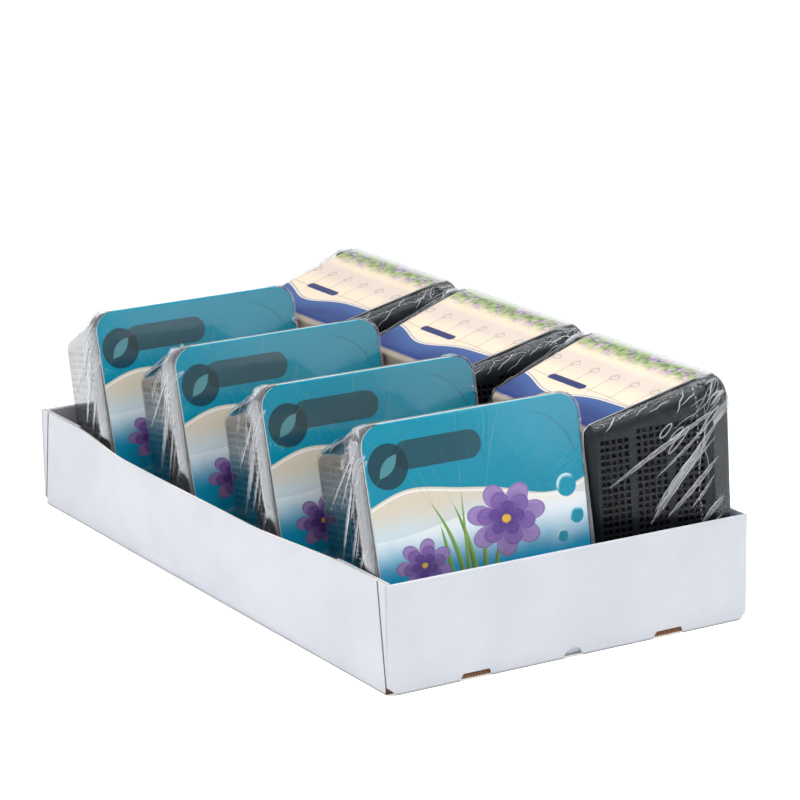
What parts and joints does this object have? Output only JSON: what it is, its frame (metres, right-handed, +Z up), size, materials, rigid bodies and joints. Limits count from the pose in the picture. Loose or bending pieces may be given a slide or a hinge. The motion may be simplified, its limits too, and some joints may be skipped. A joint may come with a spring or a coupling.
{
  "type": "display tray of water plant kits",
  "caption": "Low open display tray of white board holding two rows of square mesh pond basket kits, each with a printed cover card and wrapped in clear shrink film.",
  "frame": {"origin": "middle of the whole object, on the plane the tray stands on", "axes": "+X across the tray towards the wall that the right row of kits faces, +Y along the tray away from the end that the left row faces, +Z up"},
  "size_m": [0.3264, 0.57, 0.1883],
  "materials": {
    "board": "white coated micro-flute board, brown at its cut edges",
    "plastic": "black moulded plastic with a satin sheen",
    "card": "printed cover card with a light gloss",
    "film": "clear shrink film with creases"
  },
  "bodies": {
    "root": {"tray": "board", "basket_left_1": "plastic", "card_left_1": "card", "film_left_1": "film", "basket_left_2": "plastic", "card_left_2": "card", "film_left_2": "film", "basket_left_3": "plastic", "card_left_3": "card", "film_left_3": "film", "basket_left_4": "plastic", "card_left_4": "card", "film_left_4": "film", "basket_right_1": "plastic", "card_right_1": "card", "film_right_1": "film", "basket_right_2": "plastic", "card_right_2": "card", "film_right_2": "film", "basket_right_3": "plastic", "card_right_3": "card", "film_right_3": "film"}
  },
  "joints": []
}
